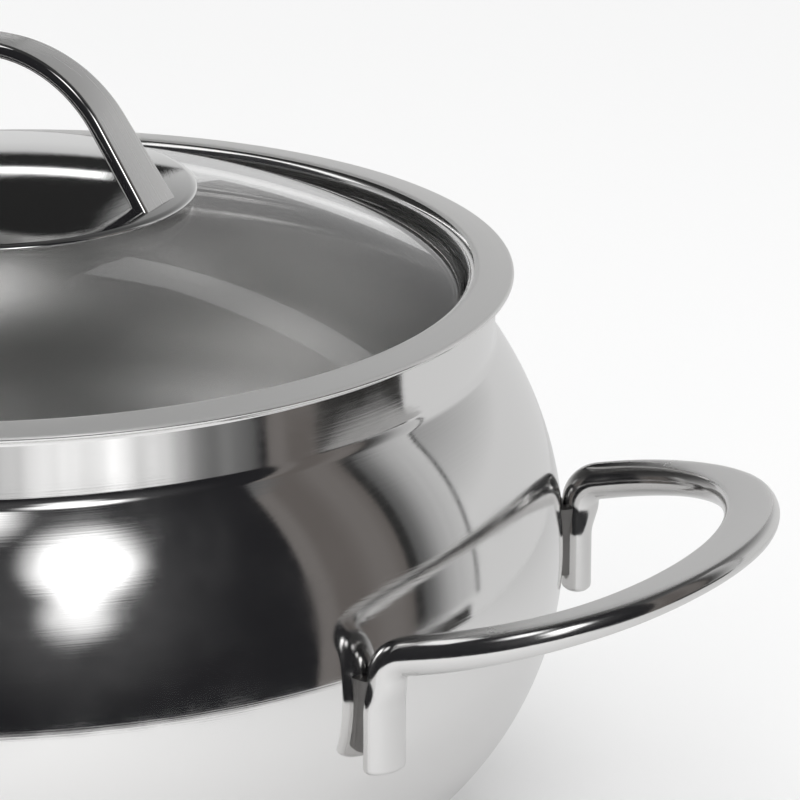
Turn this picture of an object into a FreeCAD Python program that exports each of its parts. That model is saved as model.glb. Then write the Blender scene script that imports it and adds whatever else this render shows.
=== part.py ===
"""Soup kettle: a belly-shaped steel pot with two rod handles and a domed glass lid.

Millimetres. +Z is up, the origin is the middle of the base on the table, and
the side handles lie along the X axis.
"""
import FreeCAD, Part
import math
import os

V = FreeCAD.Vector
UP = V(0, 0, 1)
ORIGIN = V(0, 0, 0)

# Pot
SHEET = 1.0                 # wall of the spun pot
NECK_BORE_R = 120.6         # inside of the neck, a 24 cm pot
NECK_Z = 126.5              # where the straight neck starts
NECK_BAND = 9.0             # height of the straight neck
NECK_HOLLOW = 5.0           # hollow arc between shoulder and neck, outside
BELLY_R = 138.5             # outside of the belly at its widest
BELLY_Z = 73.0              # height of the widest line
LOWER_R = 73.0              # arc from the belly down towards the base
FLOOR_FILLET = 8.0          # outside corner between wall and floor
LIP_R = 5.0                 # flare of the lip, outside
LIP_TURN = 50.0             # degrees turned by the flare

# Heat-spreading base
CORE_T = 5.2                # aluminium disc
CAP_T = 0.8                 # steel cup round it
BASE_STEP = 0.8             # flat of the floor that shows outside the cup
CAP_CORNER = 2.5            # rounded lower edge of the cup
CORE_CLEARANCE = 0.1        # between core and cup wall

# Side handles
ROD_D = 9.0                 # round rod
LEG_V = 62.0                # legs stand this far to either side of the middle
LEG_W = 11.0                # a leg is pressed to an oval, this wide along the belly
LEG_T = 7.3                 # and this thick
LEG_BLEND = 8.0             # length over which the oval turns back into round rod
LEG_BOTTOM_Z = 57.8         # cut end of a leg
LOOP_Z = 85.5               # rod axis where the loop leaves the bend
LOOP_TILT = 12.5            # the loop rises outwards, degrees
BEND_R = 6.0                # bend at the top of a leg, on the rod axis
LEAD = 3.0                  # straight run between bend and loop
CORNER_R = 50.0             # arcs of the loop, on the rod axis
CORNER_TURN = 60.0          # degrees turned by the corner arc
TIP_W = 13.5                # width of the pressed rod at the tip
TIP_T = 5.4                 # thickness of the pressed rod at the tip
LEG_END_ROUND = 0.8         # rounded rim of a leg's cut end
WELD_GAP = 0.15             # leg to wall, at the widest line
WELD_R = 4.6                # weld seam in the gap between leg and wall
WELD_LOW = 11.0             # the seam runs this far below the widest line
WELD_HIGH = 6.0             # and this far above it

# Lid ring
STRIP = 0.8                 # steel strip of the ring
RING_R = 126.0              # outer edge of the flange
RING_SLOPE = 6.0            # flange falls outwards, degrees
SEAT_GAP = 0.3              # flange to pot lip
LID_CLEARANCE = 0.6         # ring wall to neck bore
COLLAR_R = 115.0            # inside of the collar that meets the glass
COLLAR_ROUND = 2.8          # rounded top of the collar
LEDGE_R = 112.5             # inner edge of the ledge under the glass
LEDGE_CORNER = 1.2          # rounded lower corner of the ring wall

# Glass
GLASS_T = 4.0
GLASS_DOME_R = 265.0        # outside of the dome
GLASS_DROP = 3.4            # glass at the collar, below the flange edge
GLASS_GAP = 0.1             # glass to ring
GLASS_EDGE_CLEARANCE = 0.4  # ground edge to ring wall
GLASS_EDGE_ROUND = 0.8
HOLE_R = 5.5                # hole for the stud

# Lid handle and its fastening
PLATE_R = 51.0
PLATE_T = 1.0
PLATE_EDGE_ROUND = 0.45
ARCH_APEX = 32.3            # top of the arch above the middle of the plate
ARCH_TOP_R = 70.0           # outer face at the top
ARCH_TOP_HALF = 7.0         # which reaches this far to either side, degrees
ARCH_SHOULDER_R = 36.5      # outer face of the shoulders
ARCH_LEG_ANGLE = 58.0       # slope of the straight legs, degrees
ARCH_T = 3.7
ARCH_W_TOP = 11.0
ARCH_W_FOOT = 16.5
ARCH_EDGE_ROUND = 1.5
STUD_R = 3.0
STUD_CLEARANCE = 0.1        # stud to rubber and washer
GASKET_R = 30.0
GASKET_T = 1.5
SPIGOT_CLEARANCE = 0.2      # rubber spigot to the hole
SEAL_R = 13.0
SEAL_T = 1.8
WASHER_R = 15.0
WASHER_T = 1.2
WASHER_EDGE_ROUND = 0.5
NUT_FLATS = 10.0            # across flats
NUT_HEX_H = 5.0
NUT_DOME_R = 4.6
NUT_ROOM = 1.0              # left over stud end in the nut
THREAD_CLEARANCE = 0.05


def pt(radius, height):
    """Point of a turned profile."""
    return V(radius, 0, height)


def along(centre, radius, angle):
    """Point of a turned profile at a distance and angle from a centre."""
    turn = math.radians(angle)
    return centre + V(radius * math.cos(turn), 0, radius * math.sin(turn))


def line(start, end):
    return Part.LineSegment(start, end).toShape()


def arc(centre, radius, start, end):
    """Arc in the profile plane, between two angles in degrees."""
    points = [along(centre, radius, a) for a in (start, (start + end) / 2, end)]
    return Part.Arc(*points).toShape()


def turned(edges):
    """Solid of revolution about Z from the edges of a closed profile."""
    face = Part.Face(Part.Wire(Part.__sortEdges__(edges)))
    return face.revolve(ORIGIN, UP, 360)


def polygon(points):
    return [line(a, b) for a, b in zip(points, points[1:] + points[:1])]


def save(name, shape):
    shape.exportStep("parts/%s.step" % name)
    print("%-20s solids %d  valid %s  volume %.1f" % (
        name, len(shape.Solids), shape.isValid(), shape.Volume))


# Places that several pieces share
base_t = CORE_T + CAP_T
neck_outer_r = NECK_BORE_R + SHEET
neck_span = BELLY_R - neck_outer_r
neck_rise = NECK_Z - BELLY_Z
arc_sum = (neck_span ** 2 + neck_rise ** 2) / (2 * neck_span)
shoulder_r = arc_sum - NECK_HOLLOW
blend_angle = math.degrees(math.asin(neck_rise / arc_sum))
lip_angle = 180 - LIP_TURN
lower_centre = pt(BELLY_R - LOWER_R, BELLY_Z)
shoulder_centre = pt(BELLY_R - shoulder_r, BELLY_Z)
neck_centre = pt(neck_outer_r + NECK_HOLLOW, NECK_Z)
lip_centre = pt(neck_outer_r + LIP_R, NECK_Z + NECK_BAND)
fillet_z = base_t + FLOOR_FILLET
flat_r = lower_centre.x + math.sqrt((LOWER_R - FLOOR_FILLET) ** 2 - (BELLY_Z - fillet_z) ** 2)
fillet_centre = pt(flat_r, fillet_z)
corner_angle = math.degrees(math.atan2(fillet_z - BELLY_Z, flat_r - lower_centre.x))
cap_r = flat_r - BASE_STEP

slope = math.radians(RING_SLOPE)
flange_normal = V(math.sin(slope), 0, math.cos(slope))
lip_middle = along(lip_centre, LIP_R + SHEET / 2, lip_angle)
flange_edge_r = RING_R - STRIP
flange_rise = (lip_middle.dot(flange_normal) + SHEET / 2 + SEAT_GAP + STRIP
               - flange_edge_r * flange_normal.x)
ring_z = flange_rise / flange_normal.z
ring_wall_r = NECK_BORE_R - LID_CLEARANCE
ring_inner_r = ring_wall_r - STRIP

dome_z = ring_z - GLASS_DROP - math.sqrt(GLASS_DOME_R ** 2 - COLLAR_R ** 2)
dome_centre = pt(0, dome_z)
glass_under_r = GLASS_DOME_R - GLASS_T
plate_under_r = GLASS_DOME_R + GASKET_T
plate_top_r = plate_under_r + PLATE_T
seal_bottom_z = dome_z + glass_under_r - SEAL_T
washer_bottom_z = seal_bottom_z - WASHER_T


def dome_height(dome_r, radius):
    """Height of a sphere about the dome's centre, at a distance from the axis."""
    return dome_z + math.sqrt(dome_r ** 2 - radius ** 2)


def dome_arc(dome_r, inner, outer):
    """Arc of such a sphere between two distances from the axis."""
    angles = [math.degrees(math.acos(r / dome_r)) for r in (inner, outer)]
    return arc(dome_centre, dome_r, *angles)


def dome_shell(inner_r, outer_r, hole, rim):
    """Turned piece between two spheres, from a hole to a rim."""
    edges = [dome_arc(outer_r, hole, rim),
             line(pt(rim, dome_height(outer_r, rim)), pt(rim, dome_height(inner_r, rim))),
             dome_arc(inner_r, rim, hole)]
    if hole == 0:
        edges.append(line(pt(0, dome_z + inner_r), pt(0, dome_z + outer_r)))
    else:
        edges.append(line(pt(hole, dome_height(inner_r, hole)),
                          pt(hole, dome_height(outer_r, hole))))
    return turned(edges)


def circles(solid):
    """Circular edges of a solid; a dome's pole has an edge of no length, which is left out."""
    return [e for e in solid.Edges if not e.Degenerated and isinstance(e.Curve, Part.Circle)]


def rounded_rims(solid, radius, size):
    """Round the circular edges that lie at a distance from the axis."""
    rims = [e for e in circles(solid) if abs(e.Curve.Radius - radius) < 1e-4]
    return solid.makeFillet(size, rims)


def pot_wall(inset):
    """Edges of the pot's wall from lip to floor, set in from the outside."""
    neck_r = neck_outer_r - inset
    return [arc(lip_centre, LIP_R + inset, lip_angle, 180),
            line(pt(neck_r, lip_centre.z), pt(neck_r, NECK_Z)),
            arc(neck_centre, NECK_HOLLOW + inset, 180, 180 + blend_angle),
            arc(shoulder_centre, shoulder_r - inset, blend_angle, 0),
            arc(lower_centre, LOWER_R - inset, 0, corner_angle),
            arc(fillet_centre, FLOOR_FILLET - inset, corner_angle, -90),
            line(pt(flat_r, base_t + inset), pt(0, base_t + inset))]


def make_pot():
    lip_tangent = along(ORIGIN, SHEET / 2, lip_angle - 90)
    lip = Part.Arc(along(lip_centre, LIP_R, lip_angle), lip_middle + lip_tangent,
                   along(lip_centre, LIP_R + SHEET, lip_angle)).toShape()
    axis = line(pt(0, base_t), pt(0, base_t + SHEET))
    return turned(pot_wall(0) + pot_wall(SHEET) + [lip, axis])


def pot_envelope():
    """The pot with its inside filled, for trimming what is welded to it."""
    lip_start = along(lip_centre, LIP_R, lip_angle)
    top = pt(0, lip_start.z)
    return turned(pot_wall(0) + [line(lip_start, top), line(top, pt(0, base_t))])


def make_base_core():
    core = Part.makeCylinder(cap_r - CAP_T - CORE_CLEARANCE, CORE_T, pt(0, CAP_T))
    inner_corner = CAP_CORNER - CAP_T
    low = [e for e in core.Edges if e.BoundBox.ZMax < CAP_T + 1e-4]
    return core.makeFillet(inner_corner, low)


def make_base_cap():
    corner = pt(cap_r - CAP_CORNER, CAP_CORNER)
    inner = CAP_CORNER - CAP_T
    return turned([line(pt(0, 0), pt(corner.x, 0)),
                   arc(corner, CAP_CORNER, -90, 0),
                   line(pt(cap_r, CAP_CORNER), pt(cap_r, base_t)),
                   line(pt(cap_r, base_t), pt(cap_r - CAP_T, base_t)),
                   line(pt(cap_r - CAP_T, base_t), pt(cap_r - CAP_T, CAP_CORNER)),
                   arc(corner, inner, 0, -90),
                   line(pt(corner.x, CAP_T), pt(0, CAP_T)),
                   line(pt(0, CAP_T), pt(0, 0))])


# Side handle, on the +X side
rod_r = ROD_D / 2
leg_reach = BELLY_R + WELD_GAP + rod_r
leg_u = math.sqrt(leg_reach ** 2 - LEG_V ** 2)
leg_turn = math.atan2(LEG_V, leg_u)
tilt = math.radians(LOOP_TILT)
loop_out = V(math.cos(tilt), 0, math.sin(tilt))
loop_up = V(-math.sin(tilt), 0, math.cos(tilt))
loop_start = V(leg_u + BEND_R * (1 - math.sin(tilt)), 0, LOOP_Z)
corner_turn = math.radians(CORNER_TURN)
tip_arc_r = (LEG_V - CORNER_R * (1 - math.cos(corner_turn))) / math.cos(corner_turn)
corner_reach = LEAD + CORNER_R * math.sin(corner_turn)
loop_reach = corner_reach + tip_arc_r * (1 - math.sin(corner_turn))
bend_top = LOOP_Z - BEND_R * math.cos(tilt)


def oval(centre, side, half_side, normal, half_normal):
    """Closed section with half widths along two directions, the first the wider one."""
    if half_side - half_normal > 1e-6:
        edge = Part.Ellipse(centre + side * half_side, centre + normal * half_normal, centre)
    else:
        edge = Part.Circle(centre, side.cross(normal), half_side)
        edge.XAxis = side
    return Part.Wire(edge.toShape())


def smooth(share):
    """From 0 to 1 with a level start and end."""
    return share * share * (3 - 2 * share)


def loop_ring(turn, sign):
    """Section of the loop where its axis has turned by an angle, on the -Y or +Y side.

    It is the round rod at the start and spreads to the full width at the tip.
    """
    if turn <= corner_turn:
        reach = LEAD + CORNER_R * math.sin(turn)
        across = LEG_V - CORNER_R * (1 - math.cos(turn))
    else:
        reach = corner_reach + tip_arc_r * (math.sin(turn) - math.sin(corner_turn))
        across = tip_arc_r * math.cos(turn)
    centre = loop_start + loop_out * reach + V(0, sign * across, 0)
    outward = loop_out * math.sin(turn) + V(0, sign * math.cos(turn), 0)
    half_w = rod_r + (TIP_W - ROD_D) / 2 * smooth(2 * turn / math.pi)
    return oval(centre, outward, half_w, loop_up, rod_r)


def make_loop():
    steps = 12
    turns = [math.pi / 2 * step / steps for step in range(steps + 1)]
    rings = [loop_ring(turn, -1) for turn in turns]
    rings += [loop_ring(turn, 1) for turn in turns[-2::-1]]
    return Part.makeLoft(rings, True, False)


def leg_ring(share, sign):
    """Section of a leg from the pressed oval, 0, to the round rod at the bend, 1."""
    pressed = 1 - smooth(share)
    outward = V(math.cos(leg_turn), sign * math.sin(leg_turn), 0)
    side = V(-math.sin(leg_turn), sign * math.cos(leg_turn), 0)
    half_side = rod_r + (LEG_W / 2 - rod_r) * pressed
    half_thick = rod_r + (LEG_T / 2 - rod_r) * pressed
    height = bend_top - LEG_BLEND * (1 - share)
    centre = outward * (BELLY_R + WELD_GAP + half_thick) + V(0, 0, height)
    return oval(centre, side, half_side, outward, half_thick)


def make_leg(sign):
    """Pressed leg, its way back to round rod, bend and lead-in."""
    pressed_length = bend_top - LEG_BLEND - LEG_BOTTOM_Z
    leg = Part.Face(leg_ring(0, sign)).extrude(V(0, 0, -pressed_length))
    rim = [e for e in leg.Edges if e.BoundBox.ZMax < LEG_BOTTOM_Z + 1e-4]
    leg = leg.makeFillet(LEG_END_ROUND, rim)
    steps = 6
    blend = Part.makeLoft([leg_ring(step / steps, sign) for step in range(steps + 1)], True, False)
    bend_start = V(leg_u, sign * LEG_V, bend_top)
    section = Part.Face(leg_ring(1, sign))
    bend = section.revolve(bend_start + V(BEND_R, 0, 0), V(0, 1, 0), 90 - LOOP_TILT)
    lead = Part.makeCylinder(rod_r, LEAD, loop_start + V(0, sign * LEG_V, 0), loop_out)
    return leg.fuse([blend, bend, lead])


def make_handle():
    """Bent rod, its loop pressed flat between two planes that close towards the tip."""
    rod = make_loop().fuse([make_leg(-1), make_leg(1)]).removeSplitter()
    half_tip = TIP_T / 2
    press = math.degrees(math.atan2(rod_r - half_tip, loop_reach))
    span = 4 * LEG_V
    for flip in (1, -1):
        die = Part.makeBox(loop_reach + TIP_W, span, ROD_D, V(-loop_reach, -span / 2, half_tip))
        die.rotate(V(0, 0, half_tip), V(0, 1, 0), press)
        if flip < 0:
            die = die.mirror(ORIGIN, UP)
        die.rotate(ORIGIN, V(0, 1, 0), -LOOP_TILT)
        die.translate(loop_start + loop_out * loop_reach)
        rod = rod.cut(die)
    return rod


def make_handle_welds():
    """A seam in the gap between each leg and the belly."""
    solids = []
    for sign in (-1, 1):
        toward = V(leg_u, sign * LEG_V, 0).normalize()
        low = toward * (BELLY_R + WELD_GAP / 2) + V(0, 0, BELLY_Z - WELD_LOW)
        seam = Part.makeCylinder(WELD_R, WELD_LOW + WELD_HIGH, low, UP)
        seam = seam.cut(make_leg(sign)).cut(pot_envelope())
        solids += seam.Solids
    return Part.makeCompound(solids)


def other_side(shape):
    turned_shape = shape.copy()
    turned_shape.rotate(ORIGIN, UP, 180)
    return turned_shape


def make_ring():
    """Doubled flange, collar down to the glass, wall inside the neck, ledge under the glass."""
    edge = pt(flange_edge_r, ring_z)
    fall = math.tan(slope)

    def on_flange(offset, radius):
        """Point of the flange at an offset from its middle layer."""
        start = edge + flange_normal * offset
        return pt(radius, start.z + (start.x - radius) * fall)

    crest_r = COLLAR_R + COLLAR_ROUND
    crest = pt(crest_r, on_flange(STRIP, crest_r).z - COLLAR_ROUND / math.cos(slope))
    crest_end = 90 - RING_SLOPE
    back_r = COLLAR_R + STRIP
    collar_low = pt(COLLAR_R, dome_height(GLASS_DOME_R, COLLAR_R) + GLASS_GAP)
    collar_back = pt(back_r, dome_height(GLASS_DOME_R, COLLAR_R) + GLASS_GAP)

    ledge_in = pt(LEDGE_R, dome_height(glass_under_r, LEDGE_R) - GLASS_GAP)
    ledge_out = pt(ring_inner_r, dome_height(glass_under_r, ring_inner_r) - GLASS_GAP)
    ledge_fall = (ledge_in.z - ledge_out.z) / (ledge_out.x - ledge_in.x)
    ledge_depth = STRIP * math.hypot(1, ledge_fall)
    under_in = pt(LEDGE_R, ledge_in.z - ledge_depth)
    under_out = pt(ring_wall_r, under_in.z - ledge_fall * (ring_wall_r - LEDGE_R))

    top = on_flange(STRIP, edge.x + flange_normal.x * STRIP)
    bottom = on_flange(-STRIP, edge.x - flange_normal.x * STRIP)
    wall_top = on_flange(-STRIP, ring_wall_r)
    inner_top = on_flange(0, ring_inner_r)
    crest_back = COLLAR_ROUND - STRIP
    ring = turned([
        arc(edge, STRIP, 90 - RING_SLOPE, -90 - RING_SLOPE),
        line(top, along(crest, COLLAR_ROUND, crest_end)),
        arc(crest, COLLAR_ROUND, crest_end, 180),
        line(along(crest, COLLAR_ROUND, 180), collar_low),
        line(collar_low, collar_back),
        line(collar_back, along(crest, crest_back, 180)),
        arc(crest, crest_back, 180, crest_end),
        line(along(crest, crest_back, crest_end), inner_top),
        line(inner_top, ledge_out),
        line(ledge_out, ledge_in),
        line(ledge_in, under_in),
        line(under_in, under_out),
        line(under_out, wall_top),
        line(wall_top, bottom)])
    low_corner = [e for e in circles(ring) if abs(e.BoundBox.ZMax - under_out.z) < 1e-4]
    return ring.makeFillet(LEDGE_CORNER, low_corner)


def make_glass():
    rim = ring_inner_r - GLASS_EDGE_CLEARANCE
    glass = dome_shell(glass_under_r, GLASS_DOME_R, HOLE_R, rim)
    return rounded_rims(glass, rim, GLASS_EDGE_ROUND)


def make_plate():
    plate = dome_shell(plate_under_r, plate_top_r, 0, PLATE_R)
    return rounded_rims(plate, PLATE_R, PLATE_EDGE_ROUND)


def make_arch():
    """Flat bar bent to an arch, wider at the feet, trimmed to the domed plate."""
    top = pt(0, dome_z + plate_top_r + ARCH_APEX - ARCH_TOP_R)
    top_end = 90 - ARCH_TOP_HALF
    shoulder = along(top, ARCH_TOP_R - ARCH_SHOULDER_R, top_end)
    leg_start = 90 - ARCH_LEG_ANGLE
    run = along(ORIGIN, ARCH_SHOULDER_R, -ARCH_LEG_ANGLE)
    outer = along(shoulder, ARCH_SHOULDER_R, leg_start)
    inner = along(shoulder, ARCH_SHOULDER_R - ARCH_T, leg_start)
    one_side = [arc(shoulder, ARCH_SHOULDER_R, top_end, leg_start),
                arc(shoulder, ARCH_SHOULDER_R - ARCH_T, top_end, leg_start),
                line(outer, outer + run),
                line(inner, inner + run),
                line(outer + run, inner + run)]
    edges = [arc(top, ARCH_TOP_R, top_end, 180 - top_end),
             arc(top, ARCH_TOP_R - ARCH_T, top_end, 180 - top_end)]
    edges += one_side + [e.mirror(ORIGIN, V(1, 0, 0)) for e in one_side]
    profile = Part.Face(Part.Wire(Part.__sortEdges__(edges)))
    bar = profile.extrude(V(0, 2 * ARCH_W_FOOT, 0))
    bar.translate(V(0, -ARCH_W_FOOT, 0))

    foot = dome_foot_x(outer, run)
    half_top = ARCH_W_TOP / 2
    bulge = ARCH_W_FOOT / 2 - half_top
    side_r = (foot ** 2 + bulge ** 2) / (2 * bulge)
    for sign in (1, -1):
        axis = V(0, sign * (half_top + side_r), 0)
        bar = keep_middle(bar.cut(Part.makeCylinder(side_r, 2 * ring_z, axis, UP)))
    long_edges = [e for e in bar.Edges if e.BoundBox.XLength > ARCH_T]
    bar = bar.makeFillet(ARCH_EDGE_ROUND, long_edges)
    return bar.cut(Part.makeSphere(plate_top_r, dome_centre)).Solids[0]


def keep_middle(shape):
    """The solid nearest the axis."""
    return min(shape.Solids, key=lambda s: abs(s.CenterOfMass.y))


def dome_foot_x(start, run):
    """Distance from the axis at which a line reaches the top of the plate."""
    low, high = 0.0, 1.0
    for _ in range(40):
        share = (low + high) / 2
        point = start + run * share
        if point.z > dome_height(plate_top_r, point.x):
            low = share
        else:
            high = share
    return (start + run * low).x


def make_stud():
    end_z = washer_bottom_z - NUT_HEX_H
    stud = Part.makeCylinder(STUD_R, dome_z + plate_top_r - end_z, pt(0, end_z))
    return stud.common(Part.makeSphere(plate_under_r, dome_centre))


def make_gasket():
    bore = STUD_R + STUD_CLEARANCE
    spigot = HOLE_R - SPIGOT_CLEARANCE
    flange = dome_shell(GLASS_DOME_R, plate_under_r, bore, GASKET_R)
    sleeve = dome_shell(glass_under_r, GLASS_DOME_R + GASKET_T / 2, bore, spigot)
    return flange.fuse(sleeve).removeSplitter().Solids[0]


def make_seal():
    bore = STUD_R + STUD_CLEARANCE
    top = dome_height(glass_under_r, SEAL_R)
    return turned([dome_arc(glass_under_r, bore, SEAL_R),
                   line(pt(SEAL_R, top), pt(SEAL_R, seal_bottom_z)),
                   line(pt(SEAL_R, seal_bottom_z), pt(bore, seal_bottom_z)),
                   line(pt(bore, seal_bottom_z), pt(bore, dome_height(glass_under_r, bore)))])


def make_washer():
    bore = STUD_R + STUD_CLEARANCE
    washer = Part.makeCylinder(WASHER_R, WASHER_T, pt(0, washer_bottom_z))
    washer = washer.cut(Part.makeCylinder(bore, WASHER_T, pt(0, washer_bottom_z)))
    return rounded_rims(washer, WASHER_R, WASHER_EDGE_ROUND)


def make_cap_nut():
    corner = NUT_FLATS / math.sqrt(3)
    points = [V(corner * math.cos(math.radians(a)), corner * math.sin(math.radians(a)),
                washer_bottom_z - NUT_HEX_H) for a in range(0, 360, 60)]
    hexagon = Part.Face(Part.Wire(polygon(points))).extrude(V(0, 0, NUT_HEX_H))
    dome = Part.makeSphere(NUT_DOME_R, pt(0, washer_bottom_z - NUT_HEX_H))
    above = Part.makeCylinder(2 * corner, NUT_HEX_H, pt(0, washer_bottom_z))
    bore_depth = NUT_HEX_H + NUT_ROOM
    bore = Part.makeCylinder(STUD_R + THREAD_CLEARANCE, bore_depth,
                             pt(0, washer_bottom_z - bore_depth))
    return hexagon.fuse(dome).removeSplitter().cut(above).cut(bore).Solids[0]


def main():
    os.makedirs("parts", exist_ok=True)
    handle = make_handle()
    welds = make_handle_welds()
    save("pot_body", make_pot())
    save("base_core", make_base_core())
    save("base_cap", make_base_cap())
    save("handle_right", handle)
    save("handle_left", other_side(handle))
    save("handle_right_welds", welds)
    save("handle_left_welds", other_side(welds))
    save("lid_ring", make_ring())
    save("lid_glass", make_glass())
    save("lid_plate", make_plate())
    save("lid_arch", make_arch())
    save("lid_stud", make_stud())
    save("lid_gasket", make_gasket())
    save("lid_seal", make_seal())
    save("lid_washer", make_washer())
    save("lid_cap_nut", make_cap_nut())
    print("ring plane %.2f  base radius %.2f  leg at %.2f  loop reach %.2f" % (
        ring_z, cap_r, leg_u, loop_start.x + math.cos(tilt) * loop_reach))


main()
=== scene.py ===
import bmesh
import bpy
import math
from mathutils import Matrix, Vector


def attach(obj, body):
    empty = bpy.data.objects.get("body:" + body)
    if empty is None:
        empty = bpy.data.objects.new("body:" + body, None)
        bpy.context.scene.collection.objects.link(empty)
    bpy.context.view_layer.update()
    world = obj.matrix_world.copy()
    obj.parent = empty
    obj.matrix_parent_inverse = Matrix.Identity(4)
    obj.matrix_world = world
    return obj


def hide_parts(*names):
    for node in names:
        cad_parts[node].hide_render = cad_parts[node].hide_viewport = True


# Soup kettle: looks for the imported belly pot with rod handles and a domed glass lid

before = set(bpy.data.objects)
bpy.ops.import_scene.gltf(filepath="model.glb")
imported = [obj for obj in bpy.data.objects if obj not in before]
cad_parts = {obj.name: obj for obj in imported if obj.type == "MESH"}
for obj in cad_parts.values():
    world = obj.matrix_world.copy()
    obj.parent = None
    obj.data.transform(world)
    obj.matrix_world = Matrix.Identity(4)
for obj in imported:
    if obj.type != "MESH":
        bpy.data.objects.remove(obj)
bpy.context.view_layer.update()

MM = 0.001
UP = Vector((0, 0, 1))
SIDEWAYS = Vector((0, 1, 0))

# How the meshes are made: steps of a full turn, sharp creases, and points that are merged
ROUND_STEPS = 256
CREASE = math.radians(35)
TURNED_MERGE = 0.001
BENT_MERGE = 0.005
MIRROR_MERGE = 0.01

# Sizes of the pot, in millimetres, as in the solids
SHEET = 1.0
NECK_R = 121.6
NECK_Z = 126.5
NECK_BAND = 9.0
NECK_HOLLOW = 5.0
BELLY_R = 138.5
BELLY_Z = 73.0
LOWER_R = 73.0
FLOOR_FILLET = 8.0
LIP_R = 5.0
LIP_TURN = 50.0
BASE_T = 6.0
CAP_T = 0.8
CAP_CORNER = 2.5
BASE_STEP = 0.8

# Lip of the pot as drawn here, which flares later and tighter than in the solid
RIM_BAND = 11.7
RIM_R = 1.6

# Sizes of the side handles
ROD_R = 4.5
LEG_V = 62.0
LEG_W = 11.0
LEG_T = 7.3
LEG_BLEND = 8.0
LEG_BOTTOM_Z = 57.8
LEG_END_ROUND = 0.8
LOOP_Z = 85.5
LOOP_TILT = math.radians(12.5)
BEND_R = 6.0
LEAD = 3.0
CORNER_R = 50.0
CORNER_TURN = math.radians(60.0)
TIP_W = 13.5
TIP_T = 5.4
WELD_GAP = 0.15

# How the loop is pressed: how square, how soon, and how much of its height counts as flat face
PRESS_POWER = 10
PRESS_ONSET = 4
FLAT_FROM = 0.8
FLAT_ONSET = 6

# Sizes of the lid
STRIP = 0.8
RING_R = 126.0
RING_SLOPE = 6.0
SEAT_GAP = 0.3
LID_CLEARANCE = 0.6
COLLAR_R = 115.0
COLLAR_ROUND = 2.8
LEDGE_R = 112.5
GLASS_T = 4.0
GLASS_DOME_R = 265.0
GLASS_DROP = 3.4
GLASS_GAP = 0.1
GLASS_EDGE_CLEARANCE = 0.4
GLASS_EDGE_ROUND = 0.8
GLASS_EDGE_BEVEL = 1.0
HOLE_R = 5.5
GASKET_T = 1.5
PLATE_R = 51.0
PLATE_T = 1.0
PLATE_EDGE = 0.45
ARCH_APEX = 32.3
ARCH_TOP_R = 70.0
ARCH_TOP_HALF = 7.0
ARCH_SHOULDER_R = 36.5
ARCH_LEG = 58.0
ARCH_T = 3.7
ARCH_W_TOP = 11.0
ARCH_W_FOOT = 16.5
ARCH_EDGE_ROUND = 1.5
ARCH_CORNER = math.radians(60)

# How far a face leans before it takes the finish of the flange's top or of the arch's edges
FLANGE_LEAN = 0.1
EDGE_LEAN = 0.3

# Places worked out from the sizes
arc_sum = ((BELLY_R - NECK_R) ** 2 + (NECK_Z - BELLY_Z) ** 2) / (2 * (BELLY_R - NECK_R))
shoulder_r = arc_sum - NECK_HOLLOW
blend_angle = math.degrees(math.asin((NECK_Z - BELLY_Z) / arc_sum))
neck_c = (NECK_R + NECK_HOLLOW, NECK_Z)
neck_top = NECK_Z + NECK_BAND
lip_c = (NECK_R + LIP_R, neck_top)
lip_angle = 180 - LIP_TURN
rim_c = (NECK_R + RIM_R, NECK_Z + RIM_BAND)
shoulder_c = (BELLY_R - shoulder_r, BELLY_Z)
lower_c = (BELLY_R - LOWER_R, BELLY_Z)
fillet_z = BASE_T + FLOOR_FILLET
flat_r = lower_c[0] + math.sqrt((LOWER_R - FLOOR_FILLET) ** 2 - (BELLY_Z - fillet_z) ** 2)
fillet_c = (flat_r, fillet_z)
corner_angle = math.degrees(math.atan2(fillet_z - BELLY_Z, flat_r - lower_c[0]))

slope = math.radians(RING_SLOPE)
lip_r = lip_c[0] + (LIP_R + SHEET / 2) * math.cos(math.radians(lip_angle))
lip_z = lip_c[1] + (LIP_R + SHEET / 2) * math.sin(math.radians(lip_angle))
edge_r = RING_R - STRIP
ring_z = (lip_r * math.sin(slope) + lip_z * math.cos(slope) + SHEET / 2 + SEAT_GAP + STRIP
          - edge_r * math.sin(slope)) / math.cos(slope)
wall_r = NECK_R - SHEET - LID_CLEARANCE
inner_wall_r = wall_r - STRIP
dome_z = ring_z - GLASS_DROP - math.sqrt(GLASS_DOME_R ** 2 - COLLAR_R ** 2)
glass_under_r = GLASS_DOME_R - GLASS_T
plate_under_r = GLASS_DOME_R + GASKET_T
plate_top_r = plate_under_r + PLATE_T

leg_reach = BELLY_R + WELD_GAP + ROD_R
leg_u = math.sqrt(leg_reach ** 2 - LEG_V ** 2)
tip_arc_r = (LEG_V - CORNER_R * (1 - math.cos(CORNER_TURN))) / math.cos(CORNER_TURN)
corner_reach = LEAD + CORNER_R * math.sin(CORNER_TURN)
loop_reach = corner_reach + tip_arc_r * (1 - math.sin(CORNER_TURN))
loop_start_u = leg_u + BEND_R * (1 - math.sin(LOOP_TILT))
bend_top = LOOP_Z - BEND_R * math.cos(LOOP_TILT)


def dome_height(dome_r, radius):
    """Height of a sphere about the lid dome's centre, at a distance from the axis."""
    return dome_z + math.sqrt(dome_r ** 2 - radius ** 2)


def dome_angle(dome_r, radius):
    return math.degrees(math.acos(radius / dome_r))


def smooth(share):
    share = min(1.0, max(0.0, share))
    return share * share * (3 - 2 * share)


# Turned pieces

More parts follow.
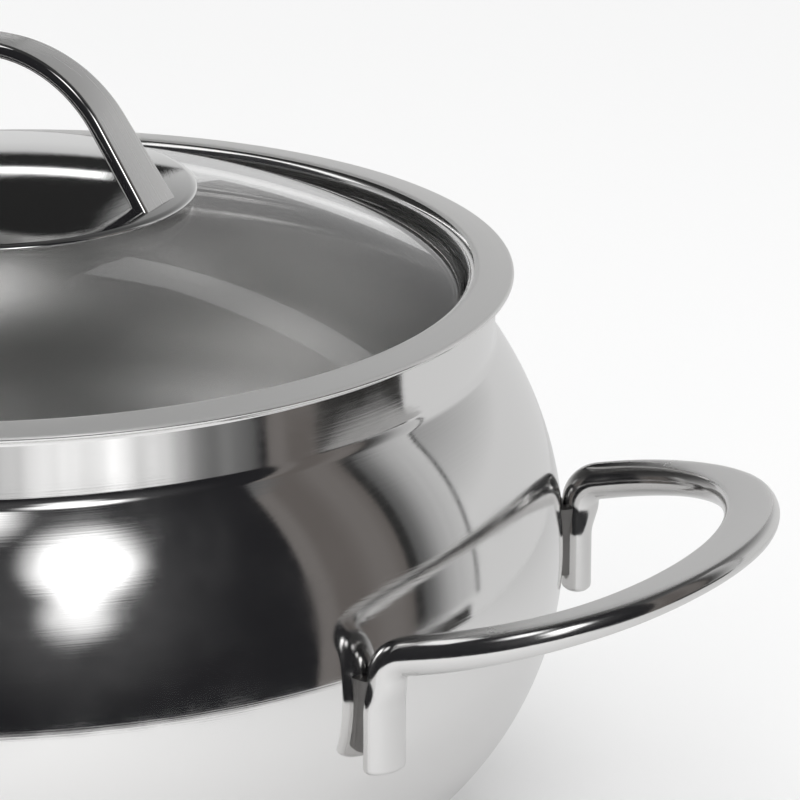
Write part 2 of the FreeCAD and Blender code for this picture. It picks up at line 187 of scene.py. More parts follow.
class Profile:
    """A chain of edges in the XZ plane, drawn with a moving end, then spun about Z."""

    def __init__(self, radius, height):
        self.bm = bmesh.new()
        self.end = self.bm.verts.new((radius, 0, height))

    def line_to(self, radius, height):
        grown = bmesh.ops.extrude_vert_indiv(self.bm, verts=[self.end])
        self.end = grown["verts"][0]
        self.end.co = (radius, 0, height)

    def arc(self, centre, start, end, steps):
        """Turn the end about a centre, from one angle to another, in degrees."""
        turned = bmesh.ops.spin(self.bm, geom=[self.end], cent=(centre[0], 0, centre[1]),
                                axis=SIDEWAYS, angle=math.radians(start - end), steps=steps)
        self.end = [part for part in turned["geom_last"] if isinstance(part, bmesh.types.BMVert)][0]

    def close(self):
        """Join the end to the start."""
        first = self.bm.verts[:][0]
        self.bm.edges.new((self.end, first))

    def spun(self):
        bm = self.bm
        bmesh.ops.spin(bm, geom=bm.verts[:] + bm.edges[:], cent=(0, 0, 0), axis=UP,
                       angle=2 * math.pi, steps=ROUND_STEPS, use_merge=True)
        bmesh.ops.remove_doubles(bm, verts=bm.verts[:], dist=TURNED_MERGE)
        bmesh.ops.recalc_face_normals(bm, faces=bm.faces[:])
        return bm


def mark_creases(bm):
    """Keep the sharp corners of a turned piece sharp."""
    for edge in bm.edges:
        edge.smooth = edge.calc_face_angle(0) < CREASE


def finished(name, bm, body, nodes, materials):
    """Turn a bmesh in millimetres into a smooth piece that rides on a body."""
    bmesh.ops.scale(bm, vec=(MM, MM, MM), verts=bm.verts[:])
    for face in bm.faces:
        face.smooth = True
    mesh = bpy.data.meshes.new(name)
    bm.to_mesh(mesh)
    bm.free()
    for material in materials:
        mesh.materials.append(material)
    piece = bpy.data.objects.new(name, mesh)
    bpy.context.scene.collection.objects.link(piece)
    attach(piece, body)
    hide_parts(*nodes)


def make_pot_shell(outside, inside):
    """Spun pot; its lip flares a little later than in the solid, hidden by the lid's flange."""
    rim_reach = RIM_R + SHEET / 2
    rim_end = (rim_c[0] + rim_reach * math.cos(math.radians(lip_angle)),
               rim_c[1] + rim_reach * math.sin(math.radians(lip_angle)))
    arcs = [(fillet_c, -90, corner_angle, 8), (lower_c, corner_angle, 0, 30),
            (shoulder_c, 0, blend_angle, 20), (neck_c, 180 + blend_angle, 180, 14)]
    wall = Profile(0, BASE_T)
    wall.line_to(flat_r, BASE_T)
    for centre, start, end, steps in arcs:
        wall.arc(centre, start, end, steps)
    wall.line_to(NECK_R, rim_c[1])
    wall.arc(rim_c, 180, lip_angle, 10)
    wall.arc(rim_end, lip_angle + 180, lip_angle, 8)
    wall.arc(rim_c, lip_angle, 180, 10)
    wall.line_to(NECK_R - SHEET, NECK_Z)
    for centre, start, end, steps in reversed(arcs):
        wall.arc(centre, end, start, steps)
    wall.line_to(0, BASE_T + SHEET)
    bm = wall.spun()
    middle = Vector((0, 0, BELLY_Z))
    for face in bm.faces:
        facing_in = face.normal.dot(face.calc_center_median() - middle) < 0
        face.material_index = 1 if facing_in else 0
    finished("pot_shell", bm, "pot", ["pot_body"], [outside, inside])


def make_base_cup(material):
    cap_r = flat_r - BASE_STEP
    corner = (cap_r - CAP_CORNER, CAP_CORNER)
    cup = Profile(0, 0)
    cup.line_to(corner[0], 0)
    cup.arc(corner, -90, 0, 8)
    cup.line_to(cap_r, BASE_T)
    cup.line_to(cap_r - CAP_T, BASE_T)
    cup.line_to(cap_r - CAP_T, CAP_CORNER)
    cup.arc(corner, 0, -90, 8)
    cup.line_to(0, CAP_T)
    finished("base_cup", cup.spun(), "pot", ["base_cap"], [material])


def make_lid_ring(satin, polished, painted_shade):
    """Doubled flange, collar down to the glass, wall in the neck and ledge under the glass."""
    fall = math.tan(slope)

    def flange_height(offset, radius):
        return ring_z + offset / math.cos(slope) + (edge_r - radius) * fall

    crest_r = COLLAR_R + COLLAR_ROUND
    crest = (crest_r, flange_height(STRIP, crest_r) - COLLAR_ROUND / math.cos(slope))
    tilt = 90 - RING_SLOPE
    collar_low = dome_height(GLASS_DOME_R, COLLAR_R) + GLASS_GAP
    ledge_in = dome_height(glass_under_r, LEDGE_R) - GLASS_GAP
    ledge_out = dome_height(glass_under_r, inner_wall_r) - GLASS_GAP
    ring = Profile(COLLAR_R + STRIP, collar_low)
    ring.line_to(COLLAR_R, collar_low)
    ring.line_to(COLLAR_R, crest[1])
    ring.arc(crest, 180, tilt, 12)
    ring.line_to(edge_r + STRIP * math.sin(slope), ring_z + STRIP * math.cos(slope))
    ring.arc((edge_r, ring_z), tilt, tilt - 180, 12)
    ring.line_to(wall_r, flange_height(-STRIP, wall_r))
    ring.line_to(wall_r, ledge_out - STRIP)
    ring.line_to(LEDGE_R, ledge_in - STRIP)
    ring.line_to(LEDGE_R, ledge_in)
    ring.line_to(inner_wall_r, ledge_out)
    ring.line_to(inner_wall_r, flange_height(0, inner_wall_r))
    ring.line_to(crest_r + (COLLAR_ROUND - STRIP) * math.sin(slope),
                 crest[1] + (COLLAR_ROUND - STRIP) * math.cos(slope))
    ring.arc(crest, tilt, 180, 12)
    ring.close()
    bm = ring.spun()
    for face in bm.faces:
        centre = face.calc_center_median()
        radius = math.hypot(centre.x, centre.y)
        outside = radius > crest_r - COLLAR_ROUND / 2
        on_top = face.normal.z > FLANGE_LEAN and outside and centre.z > ring_z
        # Faces of the collar's inner wall take the painted shade of the gap between ring and glass.
        in_collar = radius < COLLAR_R + GLASS_GAP and centre.z > collar_low
        face.material_index = 0 if on_top else 2 if in_collar else 1
    mark_creases(bm)
    finished("lid_band", bm, "lid", ["lid_ring"], [satin, polished, painted_shade])


def make_glass_dome(material):
    rim = inner_wall_r - GLASS_EDGE_CLEARANCE
    bevel_r = rim - GLASS_EDGE_BEVEL
    hole_top = dome_height(GLASS_DOME_R, HOLE_R)
    hole_low = dome_height(glass_under_r, HOLE_R)
    dome = (0, dome_z)
    glass = Profile(HOLE_R, hole_low)
    glass.line_to(HOLE_R, hole_top)
    glass.arc(dome, dome_angle(GLASS_DOME_R, HOLE_R), dome_angle(GLASS_DOME_R, bevel_r), 40)
    glass.line_to(rim, dome_height(GLASS_DOME_R, rim) - GLASS_EDGE_ROUND)
    glass.line_to(rim, dome_height(glass_under_r, rim) + GLASS_EDGE_ROUND)
    glass.line_to(bevel_r, dome_height(glass_under_r, bevel_r))
    glass.arc(dome, dome_angle(glass_under_r, bevel_r), dome_angle(glass_under_r, HOLE_R), 40)
    bm = glass.spun()
    mark_creases(bm)
    finished("glass_dome", bm, "lid", ["lid_glass"], [material])


def make_crown_disc(material):
    """Thin domed disc under the arch, with a rolled edge."""
    dome = (0, dome_z)
    rim = PLATE_R - PLATE_EDGE
    disc = Profile(0, dome_z + plate_under_r)
    disc.arc(dome, 90, dome_angle(plate_under_r, rim), 40)
    disc.line_to(PLATE_R, dome_height(plate_under_r, PLATE_R) + PLATE_EDGE)
    disc.line_to(PLATE_R, dome_height(plate_top_r, PLATE_R) - PLATE_EDGE)
    disc.line_to(rim, dome_height(plate_top_r, rim))
    disc.arc(dome, dome_angle(plate_top_r, rim), 90, 40)
    finished("crown_disc", disc.spun(), "lid", ["lid_plate"], [material])


# Bent pieces

def spin_on(bm, ring, centre, axis, angle, steps):
    """Carry an open ring of edges round an axis and return the new ring."""
    turned = bmesh.ops.spin(bm, geom=ring, cent=centre, axis=axis, angle=angle, steps=steps)
    return [part for part in turned["geom_last"] if isinstance(part, bmesh.types.BMEdge)]


def run_on(bm, ring, move, steps):
    """Carry an open ring of edges along a straight line and return the new ring."""
    for _ in range(steps):
        grown = bmesh.ops.extrude_edge_only(bm, edges=ring)["geom"]
        ring = [part for part in grown if isinstance(part, bmesh.types.BMEdge)]
        verts = [part for part in grown if isinstance(part, bmesh.types.BMVert)]
        ring = [edge for edge in ring if all(vert in verts for vert in edge.verts)]
        bmesh.ops.translate(bm, vec=Vector(move) / steps, verts=verts)
    return ring


def press_loop(co):
    """Press the round loop flat: wider and thinner towards the tip. Returns the share pressed."""
    reach, across = co.x, abs(co.y)
    if reach <= LEAD:
        return 0.0
    turn = math.atan2(reach - LEAD, across - (LEG_V - CORNER_R))
    centre = (LEAD, LEG_V - CORNER_R)
    arc_r = CORNER_R
    if turn > CORNER_TURN:
        centre = (corner_reach - tip_arc_r * math.sin(CORNER_TURN), 0)
        arc_r = tip_arc_r
        turn = math.atan2(reach - centre[0], across)
    wide = 1 + (TIP_W / 2 / ROD_R - 1) * smooth(2 * turn / math.pi)
    far = math.hypot(reach - centre[0], across - centre[1])
    near = (arc_r + (far - arc_r) * wide) / far
    side = 1 if co.y >= 0 else -1
    half = ROD_R - (ROD_R - TIP_T / 2) * min(1.0, reach / loop_reach)
    soft = co.z / (1 + (abs(co.z) / half) ** PRESS_POWER) ** (1 / PRESS_POWER)
    share = smooth(PRESS_ONSET * (1 - half / ROD_R))
    co.x = centre[0] + (reach - centre[0]) * near
    co.y = side * (centre[1] + (across - centre[1]) * near)
    co.z = co.z * (1 - share) + soft * share
    return share * smooth((abs(co.z) / half - FLAT_FROM) * FLAT_ONSET)


def press_leg(co):
    """Press the lower leg to an oval that lies along the belly."""
    pressed = smooth((bend_top - co.z) / LEG_BLEND)
    side = 1 if co.y >= 0 else -1
    outward = Vector((leg_u, side * LEG_V, 0)).normalized()
    along_belly = Vector((-outward.y, outward.x, 0))
    offset = Vector((co.x, co.y, 0)) - outward * leg_reach
    out = offset.dot(outward)
    out = out * (1 + (LEG_T / 2 / ROD_R - 1) * pressed) - (ROD_R - LEG_T / 2) * pressed
    wide = offset.dot(along_belly) * (1 + (LEG_W / 2 / ROD_R - 1) * pressed)
    moved = outward * (leg_reach + out) + along_belly * wide
    co.x, co.y = moved.x, moved.y


def make_rod_handle(name, turned, nodes, material):
    """Bent rod handle: loop, bend and leg of one half, mirrored to the other."""
    bm = bmesh.new()
    bmesh.ops.create_circle(bm, segments=48, radius=ROD_R)
    bmesh.ops.rotate(bm, cent=(0, 0, 0), matrix=Matrix.Rotation(math.pi / 2, 3, "X"),
                     verts=bm.verts[:])
    bmesh.ops.translate(bm, vec=(loop_reach, 0, 0), verts=bm.verts[:])
    tip_centre = (corner_reach - tip_arc_r * math.sin(CORNER_TURN), 0, 0)
    ring = spin_on(bm, bm.edges[:], tip_centre, UP, math.pi / 2 - CORNER_TURN, 24)
    ring = spin_on(bm, ring, (LEAD, LEG_V - CORNER_R, 0), UP, CORNER_TURN, 40)
    ring = run_on(bm, ring, (-LEAD, 0, 0), 3)
    layer = bm.verts.layers.float.new("pressed_face")
    for vert in bm.verts:
        vert[layer] = press_loop(vert.co)
    ring = spin_on(bm, ring, (0, 0, -BEND_R), SIDEWAYS, LOOP_TILT - math.pi / 2, 16)
    bmesh.ops.rotate(bm, cent=(0, 0, 0), matrix=Matrix.Rotation(-LOOP_TILT, 3, "Y"),
                     verts=bm.verts[:])
    bmesh.ops.translate(bm, vec=(loop_start_u, 0, LOOP_Z), verts=bm.verts[:])
    before = set(bm.verts)
    ring = run_on(bm, ring, (0, 0, LEG_BOTTOM_Z - bend_top), 22)
    for vert in bm.verts:
        if vert not in before:
            press_leg(vert.co)
    cut_end = bmesh.ops.edgeloop_fill(bm, edges=ring)["faces"]
    rim = [edge for face in cut_end for edge in face.edges]
    bmesh.ops.bevel(bm, geom=rim, offset=LEG_END_ROUND, segments=3, profile=0.5, affect="EDGES",
                    material=-1)
    bmesh.ops.mirror(bm, geom=bm.verts[:] + bm.edges[:] + bm.faces[:], matrix=Matrix.Identity(4),
                     merge_dist=MIRROR_MERGE, axis="Y")
    if turned:
        bmesh.ops.rotate(bm, cent=(0, 0, 0), matrix=Matrix.Rotation(math.pi, 3, "Z"),
                         verts=bm.verts[:])
    bmesh.ops.remove_doubles(bm, verts=bm.verts[:], dist=BENT_MERGE)
    bmesh.ops.recalc_face_normals(bm, faces=bm.faces[:])
    finished(name, bm, "pot", nodes, [material])


def make_lid_arch(satin, polished):
    """Flat bar bent to an arch over the disc, wider at the feet, with polished round edges."""
    top_z = dome_z + plate_top_r + ARCH_APEX
    top_c = Vector((0, 0, top_z - ARCH_TOP_R))
    top_end = math.radians(ARCH_TOP_HALF)
    shoulder_turn = math.radians(ARCH_LEG - ARCH_TOP_HALF)
    lift = ARCH_TOP_R - ARCH_SHOULDER_R
    bm = bmesh.new()
    bmesh.ops.create_grid(bm, x_segments=1, y_segments=1, size=0.5)
    bmesh.ops.delete(bm, geom=bm.faces[:], context="FACES_ONLY")
    bmesh.ops.scale(bm, vec=(ARCH_T, ARCH_W_TOP, 1), verts=bm.verts[:])
    bmesh.ops.rotate(bm, cent=(0, 0, 0), matrix=Matrix.Rotation(math.pi / 2, 3, "Y"),
                     verts=bm.verts[:])
    bmesh.ops.translate(bm, vec=(0, 0, top_z - ARCH_T / 2), verts=bm.verts[:])
    ring = spin_on(bm, bm.edges[:], top_c, SIDEWAYS, top_end, 5)
    shoulder_at = top_c + Vector((lift * math.sin(top_end), 0, lift * math.cos(top_end)))
    ring = spin_on(bm, ring, shoulder_at, SIDEWAYS, shoulder_turn, 24)
    run = Vector((math.cos(math.radians(ARCH_LEG)), 0, -math.sin(math.radians(ARCH_LEG))))
    ring = run_on(bm, ring, run * ARCH_SHOULDER_R, 12)
    bmesh.ops.mirror(bm, geom=bm.verts[:] + bm.edges[:] + bm.faces[:], matrix=Matrix.Identity(4),
                     merge_dist=MIRROR_MERGE, axis="X")
    bmesh.ops.remove_doubles(bm, verts=bm.verts[:], dist=BENT_MERGE)
    bmesh.ops.bisect_plane(bm, geom=bm.verts[:] + bm.edges[:] + bm.faces[:], dist=0.0001,
                           plane_co=(0, 0, dome_height(plate_top_r, PLATE_R - ARCH_EDGE_ROUND)),
                           plane_no=(0, 0, -1), clear_outer=True)
    foot = max(vert.co.x for vert in bm.verts)
    for vert in bm.verts:
        vert.co.y *= 1 + (ARCH_W_FOOT / ARCH_W_TOP - 1) * (vert.co.x / foot) ** 2
    bmesh.ops.recalc_face_normals(bm, faces=bm.faces[:])
    corners = [edge for edge in bm.edges if edge.calc_face_angle(0) > ARCH_CORNER]
    bmesh.ops.bevel(bm, geom=corners, offset=ARCH_EDGE_ROUND, segments=6, profile=0.5,
                    affect="EDGES", material=-1)
    for face in bm.faces:
        face.material_index = 1 if abs(face.normal.y) > EDGE_LEAN else 0
    finished("arch_bar", bm, "lid", ["lid_arch"], [satin, polished])


# Finishes

class Nodes:
    """A node tree with a short way to add and link nodes."""

    def __init__(self, tree):
        self.tree = tree

    def node(self, kind, settings=None, **inputs):
        made = self.tree.nodes.new(kind)
        for key, value in (settings or {}).items():
            setattr(made, key, value)
        for key, value in inputs.items():
            self.feed(made.inputs[key.replace("_", " ")], value)
        return made

    def feed(self, socket, value):
        if isinstance(value, bpy.types.NodeSocket):
            self.tree.links.new(value, socket)
        else:
            socket.default_value = value

    def math(self, operation, first, second=None):
        made = self.node("ShaderNodeMath", {"operation": operation})
        self.feed(made.inputs[0], first)
        if second is not None:
            self.feed(made.inputs[1], second)
        return made.outputs[0]

    def spread(self, value, low, high):
        """Map 0 to 1 on to a range."""
        made = self.node("ShaderNodeMapRange", Value=value, To_Min=low, To_Max=high)
        return made.outputs[0]


class Finish(Nodes):
    """A node material: steel, another matter, or a card that glows."""

    def __init__(self, name):
        self.material = bpy.data.materials.new(name)
        self.material.use_nodes = True
        super().__init__(self.material.node_tree)
        self.shader = self.tree.nodes["Principled BSDF"]

    def place(self):
        return self.node("ShaderNodeTexCoord").outputs["Object"]

    def speckle(self, scale, detail, roughness=0.5):
        """Fine grain without a direction."""
        grain = self.node("ShaderNodeTexNoise", Vector=self.place(), Scale=scale, Detail=detail,
                          Roughness=roughness)
        return grain.outputs["Fac"]

    def turned_grain(self, fineness, stretch):
        """Fine lines that run round the Z axis, as left by turning and buffing."""
        split = self.node("ShaderNodeSeparateXYZ", Vector=self.place())
        x, y, z = split.outputs
        angle = self.math("ARCTAN2", y, x)
        radius = self.math("SQRT", self.math("ADD", self.math("MULTIPLY", x, x),
                                             self.math("MULTIPLY", y, y)))
        spot = self.node("ShaderNodeCombineXYZ", X=self.math("MULTIPLY", angle, stretch),
                         Y=self.math("MULTIPLY", radius, fineness),
                         Z=self.math("MULTIPLY", z, fineness))
        lines = self.node("ShaderNodeTexNoise", Vector=spot.outputs[0], Scale=1.0, Detail=4.0,
                          Roughness=0.6)
        return lines.outputs["Fac"]

    def bump(self, height, strength, distance):
        made = self.node("ShaderNodeBump", Strength=strength, Distance=distance, Height=height)
        self.feed(self.shader.inputs["Normal"], made.outputs[0])

    def steel(self, colour, roughness, mirror=1.0):
        """Metal whose roughness is a number or a socket; less mirror for a scattering grain."""
        self.shader.inputs["Base Color"].default_value = (*colour, 1)
        self.shader.inputs["Metallic"].default_value = mirror
        self.feed(self.shader.inputs["Roughness"], roughness)
        return self.material

    def glowing(self, colour, strength=1.0):
        """An even light of its own in place of the surface."""
        self.tree.nodes.remove(self.shader)
        light = self.node("ShaderNodeEmission", Color=colour, Strength=strength)
        self.feed(self.tree.nodes["Material Output"].inputs["Surface"], light.outputs[0])
        return self.material


def mirror_steel():
    """Buffed steel with faint turning lines and hazy smears."""
    finish = Finish("mirror_polished_steel")
    lines = finish.turned_grain(2600.0, 1.2)
    finish.bump(lines, 0.035, 0.0002)
    haze = finish.node("ShaderNodeMapRange", Value=finish.speckle(26.0, 7.0, 0.62), From_Min=0.48,
                       From_Max=0.75, To_Max=0.12)
    rough = finish.math("ADD", finish.spread(lines, 0.02, 0.10), haze.outputs[0])
    return finish.steel((0.79, 0.785, 0.78), rough)


def inside_steel():
    finish = Finish("satin_inside_steel")
    lines = finish.turned_grain(3200.0, 0.8)
    finish.bump(lines, 0.12, 0.0002)
    return finish.steel((0.85, 0.845, 0.84), finish.spread(lines, 0.17, 0.30))


def band_steel():
    finish = Finish("satin_band_steel")
    lines = finish.turned_grain(5200.0, 0.9)
    finish.bump(lines, 0.10, 0.0002)
    return finish.steel((0.68, 0.677, 0.67), finish.spread(lines, 0.24, 0.40), 0.62)


def band_edge_steel():
    finish = Finish("polished_band_edge")
    lines = finish.turned_grain(3600.0, 0.9)
    return finish.steel((0.80, 0.795, 0.79), finish.spread(lines, 0.08, 0.18))


# Painted shade: the inner wall of the lid's collar is coloured dark for the shade in the narrow gap
# where the ring meets the glass.
def collar_steel():
    finish = Finish("burnished_collar_steel")
    lines = finish.turned_grain(3600.0, 0.9)
    return finish.steel((0.16, 0.158, 0.155), finish.spread(lines, 0.20, 0.34))


def disc_steel():
    finish = Finish("polished_disc_steel")
    lines = finish.turned_grain(4200.0, 0.7)
    finish.bump(lines, 0.03, 0.0002)
    return finish.steel((0.80, 0.80, 0.795), finish.spread(lines, 0.02, 0.08))


def handle_steel():
    """Polished rod whose pressed faces are satin."""
    finish = Finish("pressed_rod_steel")
    grain = finish.speckle(900.0, 5.0, 0.65)
    pressed = finish.node("ShaderNodeAttribute", {"attribute_name": "pressed_face"}).outputs["Fac"]
    polish = finish.spread(grain, 0.09, 0.17)
    satin = finish.spread(grain, 0.30, 0.42)
    mix = finish.node("ShaderNodeMix", {"data_type": "FLOAT"})
    for socket, value in zip((mix.inputs[0], mix.inputs[2], mix.inputs[3]), (pressed, polish, satin)):
        finish.feed(socket, value)
    finish.bump(grain, 0.05, 0.0001)
    steel = finish.steel((0.70, 0.695, 0.69), mix.outputs[0])
    finish.feed(finish.shader.inputs["Metallic"], finish.spread(pressed, 1.0, 0.55))
    return steel


def arch_steel():
    finish = Finish("arch_steel")
    stretched = finish.node("ShaderNodeMapping", Vector=finish.place(), Scale=(40, 3000, 40))
    noise = finish.node("ShaderNodeTexNoise", Vector=stretched.outputs[0], Scale=1.0, Detail=4.0)
    lines = noise.outputs["Fac"]
    finish.bump(lines, 0.06, 0.0001)
    return finish.steel((0.62, 0.617, 0.61), finish.spread(lines, 0.18, 0.32), 0.7)


def arch_edge_steel():
    finish = Finish("polished_arch_edge")
    grain = finish.speckle(500.0, 3.0)
    return finish.steel((0.80, 0.795, 0.79), finish.spread(grain, 0.03, 0.09))


def lid_glass():
    finish = Finish("clear_lid_glass")
    shader = finish.shader
    shader.inputs["Base Color"].default_value = (0.985, 0.987, 0.985, 1)
    shader.inputs["Roughness"].default_value = 0.0
    shader.inputs["IOR"].default_value = 1.5
    shader.inputs["Transmission Weight"].default_value = 1.0
    return finish.material


def plain_metal(name, colour, low, high, scale):
    finish = Finish(name)
    grain = finish.speckle(scale, 5.0)
    finish.bump(grain, 0.2, 0.0003)
    return finish.steel(colour, finish.spread(grain, low, high))


def silicone():
    finish = Finish("lid_silicone")
    grain = finish.speckle(700.0, 3.0)
    finish.bump(grain, 0.1, 0.0002)
    finish.shader.inputs["Base Color"].default_value = (0.62, 0.62, 0.60, 1)
    finish.feed(finish.shader.inputs["Roughness"], finish.spread(grain, 0.45, 0.6))
    return finish.material


def dress(node, material):
    """Give a carried-over solid its finish."""
    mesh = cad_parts[node].data
    mesh.materials.clear()
    mesh.materials.append(material)


# Object

rod_finish = handle_steel()
small_steel = plain_metal("fastener_steel", (0.66, 0.655, 0.65), 0.22, 0.36, 900.0)
make_pot_shell(mirror_steel(), inside_steel())
band_finish = band_steel()
make_base_cup(band_finish)
for side, turned in (("right", False), ("left", True)):
    make_rod_handle("rod_handle_" + side, turned, ["handle_" + side], rod_finish)
make_lid_ring(band_finish, band_edge_steel(), collar_steel())
make_glass_dome(lid_glass())
make_crown_disc(disc_steel())
make_lid_arch(arch_steel(), arch_edge_steel())
weld_finish = plain_metal("weld_steel", (0.20, 0.195, 0.19), 0.30, 0.55, 500.0)
rubber_finish = silicone()
for node in ("handle_right_welds", "handle_left_welds"):
    dress(node, weld_finish)
for node in ("lid_stud", "lid_washer", "lid_cap_nut"):
    dress(node, small_steel)
for node in ("lid_gasket", "lid_seal"):
    dress(node, rubber_finish)
dress("base_core", plain_metal("core_aluminium", (0.76, 0.76, 0.76), 0.35, 0.5, 300.0))


# Studio

HEADING = math.radians(22.2)
CAMERA_TILT = math.radians(90 - 18.49)
CAMERA_PLACE = (0.4784, -0.9105, 0.4508)
SENSOR = 36.0
LENS = 202.5
TABLE_R = 0.415
FLOOR_R = 6.0
FLOOR_DROP = 0.0002
FLOOR_TONE = 0.96

# The room that metal mirrors: share of the way from straight down to straight up, and brightness
ROOM_LEVELS = ((0.0, 0.72), (0.53, 0.70), (0.587, 0.56), (0.671, 0.38), (0.765, 0.18), (0.854, 0.09),
               (1.0, 0.04))

# Soft windows: full brightness over this share of their reach, then streaks between these levels
WINDOW_CORE = 0.2
STREAK_LOW = 0.4
STREAK_HIGH = 1.6


def photo_direction(azimuth, elevation):
    """Unit vector from the pot; azimuth 0 is towards the camera, positive to its right."""
    turn = HEADING + math.radians(azimuth)
    rise = math.radians(elevation)
    return Vector((math.sin(turn) * math.cos(rise), -math.cos(turn) * math.cos(rise),
                   math.sin(rise)))


def glow(name, colour, strength):
    return Finish(name).glowing((*colour, 1), strength)


def window_glow(name, colour, windows, upright=False):
    """Card with soft bright windows: azimuth, elevation, reach in degrees and strength.

    Upright windows run the whole height of the card, as folds of a curtain do.
    """
    finish = Finish(name)
    level = finish.node("ShaderNodeVectorMath", {"operation": "MULTIPLY"})
    finish.feed(level.inputs[0], finish.place())
    finish.feed(level.inputs[1], (1, 1, 0 if upright else 1))
    normal = finish.node("ShaderNodeVectorMath", {"operation": "NORMALIZE"})
    finish.feed(normal.inputs[0], level.outputs["Vector"])
    facing = normal.outputs["Vector"]
    noise = finish.node("ShaderNodeTexNoise", Vector=facing, Scale=11.0, Detail=5.0)
    streaks = noise.outputs["Fac"]
    total = 0.0
    for azimuth, elevation, reach, strength in windows:
        away = finish.node("ShaderNodeVectorMath", {"operation": "DISTANCE"})
        finish.feed(away.inputs[0], facing)
        finish.feed(away.inputs[1], photo_direction(azimuth, elevation))
        edge = finish.node("ShaderNodeMapRange", {"interpolation_type": "SMOOTHSTEP"},
                           Value=away.outputs["Value"], From_Min=math.radians(reach),
                           From_Max=math.radians(reach) * WINDOW_CORE)
        lit = finish.math("MULTIPLY", edge.outputs[0],
                          finish.spread(streaks, STREAK_LOW, STREAK_HIGH))
        total = finish.math("ADD", finish.math("MULTIPLY", lit, strength), total)
    tint = finish.node("ShaderNodeCombineXYZ")
    for socket, share in zip(tint.inputs, colour):
        finish.feed(socket, finish.math("ADD", total, share))
    return finish.glowing(tint.outputs[0])


def stage_piece(name, bm, material):
    """Turn a bmesh in metres into a part of the studio."""
    mesh = bpy.data.meshes.new(name)
    bm.to_mesh(mesh)
    bm.free()
    mesh.materials.append(material)
    piece = bpy.data.objects.new(name, mesh)
    bpy.context.scene.collection.objects.link(piece)
    return piece


def studio_card(name, azimuths, elevations, distance, material, inside_only=False):
    """Bent card that only shows in reflections, spanning angles as seen from the pot.

    An inside-only card is seen through the lid glass alone.
    """
    bm = bmesh.new()
    low = bm.verts.new(photo_direction(azimuths[0], elevations[0]) * distance)
    high = bm.verts.new(photo_direction(azimuths[0], elevations[1]) * distance)
    edge = bm.edges.new((low, high))
    bmesh.ops.spin(bm, geom=[low, high, edge], cent=(0, 0, 0), axis=UP,
                   angle=math.radians(azimuths[1] - azimuths[0]), steps=16)
    card = stage_piece(name, bm, material)
    card.visible_camera = False
    card.visible_diffuse = False
    card.visible_shadow = False
    card.visible_glossy = not inside_only
    card.visible_transmission = inside_only


def floor_finish():
    """White; mirrored in metal, it falls off towards the back."""
    finish = Finish("pale_floor")
    away = finish.node("ShaderNodeVectorMath", {"operation": "DOT_PRODUCT"})
    finish.feed(away.inputs[0], finish.place())
    finish.feed(away.inputs[1], photo_direction(130, 0))
    fall_off = finish.node("ShaderNodeMapRange", Value=away.outputs["Value"], From_Min=-0.16,
                           From_Max=0.4, To_Min=0.0, To_Max=0.36)
    seen_in_metal = finish.node("ShaderNodeLightPath").outputs["Is Glossy Ray"]
    loss = finish.math("MULTIPLY", seen_in_metal, fall_off.outputs[0])
    finish.feed(finish.shader.inputs["Base Color"], finish.math("SUBTRACT", FLOOR_TONE, loss))
    finish.shader.inputs["Roughness"].default_value = 0.6
    return finish.material


def make_floor():
    """Round table that metal mirrors, and the floor round it, which it doesn't."""
    material = floor_finish()
    for name, inner, outer, mirrored in (("round_table", 0.0, TABLE_R, True),
                                         ("floor", TABLE_R, FLOOR_R, False)):
        bm = bmesh.new()
        start = bm.verts.new((inner, 0, 0))
        end = bm.verts.new((outer, 0, 0))
        edge = bm.edges.new((start, end))
        bmesh.ops.spin(bm, geom=[start, end, edge], cent=(0, 0, 0), axis=UP, angle=2 * math.pi,
                       steps=128, use_merge=True)
        bmesh.ops.remove_doubles(bm, verts=bm.verts[:], dist=BENT_MERGE * MM)
        floor = stage_piece(name, bm, material)
        floor.location.z = -FLOOR_DROP
        floor.visible_glossy = mirrored


def make_world():
    """White to look at and through the glass; metal sees a room that darkens above the backdrop."""
    world = bpy.data.worlds.new("studio")
    bpy.context.scene.world = world
    world.use_nodes = True
    world.node_tree.nodes.clear()
    sky = Nodes(world.node_tree)
    path = sky.node("ShaderNodeLightPath")
    in_metal = sky.node("ShaderNodeMath", {"operation": "SUBTRACT", "use_clamp": True})
    sky.feed(in_metal.inputs[0], path.outputs["Is Glossy Ray"])
    sky.feed(in_metal.inputs[1], path.outputs["Is Transmission Ray"])
    split = sky.node("ShaderNodeSeparateXYZ",
                     Vector=sky.node("ShaderNodeTexCoord").outputs["Generated"])
    height = sky.node("ShaderNodeMapRange", Value=split.outputs["Z"], From_Min=-1.0)
    ramp = sky.node("ShaderNodeValToRGB", Fac=height.outputs[0])
    for place, _ in ROOM_LEVELS[1:-1]:
        ramp.color_ramp.elements.new(place)
    for stop, (place, level) in zip(ramp.color_ramp.elements, ROOM_LEVELS):
        stop.position = place
        stop.color = (level, level, level, 1)
    room = sky.node("ShaderNodeBackground", Color=ramp.outputs["Color"])
    white = sky.node("ShaderNodeBackground", Color=(1, 1, 1, 1))
    mix = sky.node("ShaderNodeMixShader", Fac=in_metal.outputs[0])
    sky.feed(mix.inputs[1], white.outputs[0])
    sky.feed(mix.inputs[2], room.outputs[0])
    sky.node("ShaderNodeOutputWorld", Surface=mix.outputs[0])


def softbox(name, azimuth, elevation, distance, size, power):
    data = bpy.data.lights.new(name, "AREA")
    data.shape = "RECTANGLE"
    data.size = size
    data.size_y = size
    data.energy = power
    lamp = bpy.data.objects.new(name, data)
    spot = photo_direction(azimuth, elevation) * distance
    lamp.location = spot
    lamp.rotation_euler = spot.to_track_quat("Z", "Y").to_euler()
    bpy.context.scene.collection.objects.link(lamp)
    lamp.visible_glossy = False


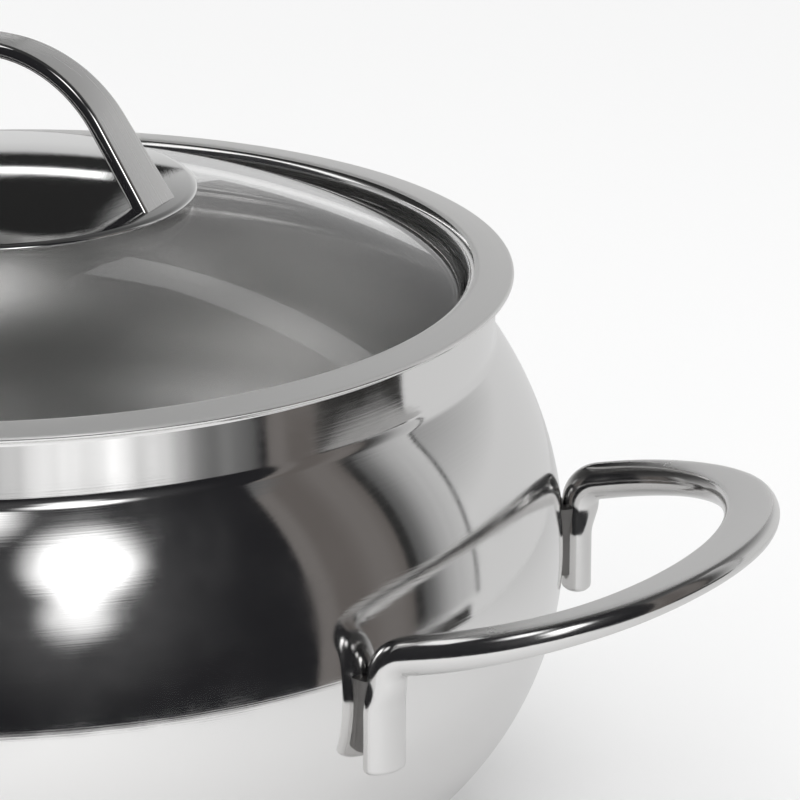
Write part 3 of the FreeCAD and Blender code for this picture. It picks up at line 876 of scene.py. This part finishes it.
def make_camera():
    data = bpy.data.cameras.new("photo_camera")
    data.sensor_width = SENSOR
    data.lens = LENS
    camera = bpy.data.objects.new("photo_camera", data)
    camera.location = CAMERA_PLACE
    camera.rotation_euler = (CAMERA_TILT, 0, HEADING)
    bpy.context.scene.collection.objects.link(camera)
    bpy.context.scene.camera = camera


make_camera()
make_floor()
make_world()

# Cards of one colour: azimuths, elevations, distance, colour, strength, and inside only or not
WHITE = (1, 1, 1)
for name, azimuths, elevations, distance, colour, strength, inside_only in (
        ("back_flag", (177, 235), (14, 62), 2.0, WHITE, 0.02, False),
        ("back_strip", (179, 235), (21, 23.5), 1.7, WHITE, 1.8, False),
        ("left_window", (-115, -55), (32, 72), 1.7, WHITE, 1.2, False),
        ("panel_gap", (90, 93), (-8, 38), 2.0, WHITE, 0.03, False),
        ("panel_edge", (109, 110), (-8, 38), 2.0, WHITE, 0.06, False),
        ("panel_foot", (79, 106), (-25, -8), 1.5, (0.035, 0.034, 0.033), 1.0, False),
        ("inside_flag", (122, 176), (10, 40), 1.6, WHITE, 0.04, True),
        ("inside_roof", (10, 290), (45, 88), 1.6, WHITE, 0.12, True),
        ("inside_roof_left", (-52, -10), (45, 88), 1.6, WHITE, 0.12, True)):
    studio_card(name, azimuths, elevations, distance, glow(name, colour, strength), inside_only)

# Cards with soft windows: azimuths, elevations, distance, colour, windows, and upright or not
for name, azimuths, elevations, distance, colour, windows, upright in (
        ("dark_room", (-100, 66), (-30, 70), 2.0, (0.018, 0.018, 0.020),
         [(24, 34, 13, 2.6), (21, 21, 9, 1.3), (0, 51, 12, 1.8), (20, 24, 34, 0.05)], False),
        ("beige_panel", (66, 90), (-25, 38), 2.0, (0.135, 0.122, 0.115),
         [(69, 0, 4, 0.05), (84, 0, 7, 0.04)], True),
        ("grey_panel", (93, 109), (-8, 38), 2.0, (0.11, 0.11, 0.11), [(111, 0, 18, 0.56)], True),
        ("table_front", (-8, 64), (-25, -10), 1.5, (0.04, 0.04, 0.04),
         [(12, 0, 18, 0.6), (24, 0, 18, 0.45), (37, 0, 18, 0.75), (57, 0, 9, 0.15)], True)):
    studio_card(name, azimuths, elevations, distance, window_glow(name, colour, windows, upright))
softbox("key_softbox", 26, 60, 1.3, 0.80, 3.0)

bpy.context.scene.view_settings.view_transform = "Standard"
